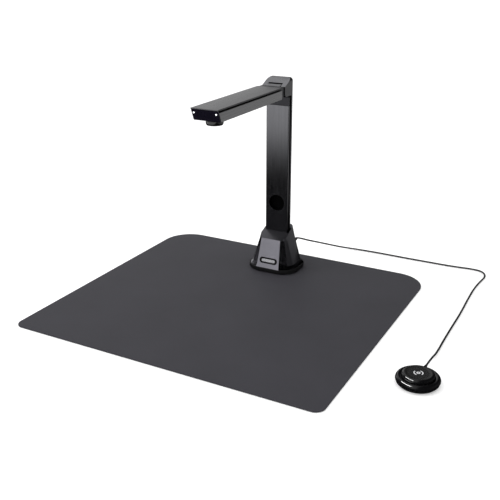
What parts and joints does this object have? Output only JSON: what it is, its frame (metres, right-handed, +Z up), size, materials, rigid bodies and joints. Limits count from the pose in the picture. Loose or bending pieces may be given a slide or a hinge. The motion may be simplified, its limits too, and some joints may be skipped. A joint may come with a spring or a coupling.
{
  "type": "document camera",
  "caption": "Desk document camera: folding arm with a downward lens and lamp on a column with a weighted foot, a work mat and a wired hand button.",
  "frame": {"origin": "on the desk under the middle of the stand's base, in the plane of the work mat's underside", "axes": "+X to the object's own right hand side seen from the front, where the hand button lies; +Y to the back; +Z up; the arm and the work mat reach forward along -Y"},
  "size_m": [0.5486, 0.4816, 0.2978],
  "materials": {
    "mat_rubber": "fine matte texture",
    "dark_aluminium": "brushed, dark anodised",
    "grey_casting": "satin metallic grey",
    "black_rubber": "matte",
    "black_gloss": "polished",
    "black_matte": "fine grain",
    "bright_badge": "polished",
    "steel": "turned",
    "iron": "rough cast",
    "bronze": "plain bearing bronze",
    "circuit_board": "solder-masked laminate",
    "lamp_white": "milky, lets light through",
    "lens_glass": "coated optical glass",
    "ribbon": "flexible film",
    "cord_jacket": "smooth satin jacket",
    "silver_mark": "satin",
    "light_guide": "clear white"
  },
  "bodies": {
    "stand": {"badge_bezel": "black_matte", "badge_plate": "bright_badge", "ballast": "iron", "base_plinth": "black_rubber", "base_screws": "steel", "base_shell": "grey_casting", "button_cord": "cord_jacket", "button_plug": "black_matte", "button_socket": "black_matte", "column_cable": "ribbon", "column_core": "dark_aluminium", "column_foot": "steel", "column_slab": "dark_aluminium", "foot_pad": "black_rubber", "friction_washers": "steel", "hinge_block": "black_matte", "hinge_bushes": "bronze", "hinge_pin": "steel", "io_board": "circuit_board", "lens_nest": "black_matte", "puck_base": "black_matte", "puck_board": "circuit_board", "puck_foot": "black_rubber", "puck_gland": "black_rubber", "puck_shell": "black_gloss", "puck_switch": "black_matte", "rear_cover": "grey_casting", "usb_inlet": "steel", "work_mat": "mat_rubber"},
    "arm": {"arm_cover": "dark_aluminium", "arm_knuckle": "grey_casting", "arm_ribbon": "ribbon", "arm_screws": "steel", "arm_tray": "dark_aluminium", "camera_board": "circuit_board", "head_window": "black_gloss", "image_sensor": "black_gloss", "lamp_board": "circuit_board", "lamp_chips": "lamp_white", "lamp_diffuser": "lamp_white", "lens_barrel": "black_gloss", "lens_glass": "lens_glass", "lens_ring": "black_matte", "status_lights": "light_guide"},
    "button": {"puck_cap": "black_gloss", "puck_icon": "silver_mark", "switch_plunger": "lamp_white"}
  },
  "joints": [
    {"name": "arm_fold", "type": "hinge", "parent": "stand", "child": "arm", "pos_m": [0, -0.0109, 0.2787], "axis": [1, 0, 0], "range_deg": [0, 90]},
    {"name": "button_press", "type": "slide", "parent": "stand", "child": "button", "axis": [0, 0, -1], "range_m": [0, 0.001], "stiffness_N_per_m": 800, "springref_m": -0.0005}
  ]
}
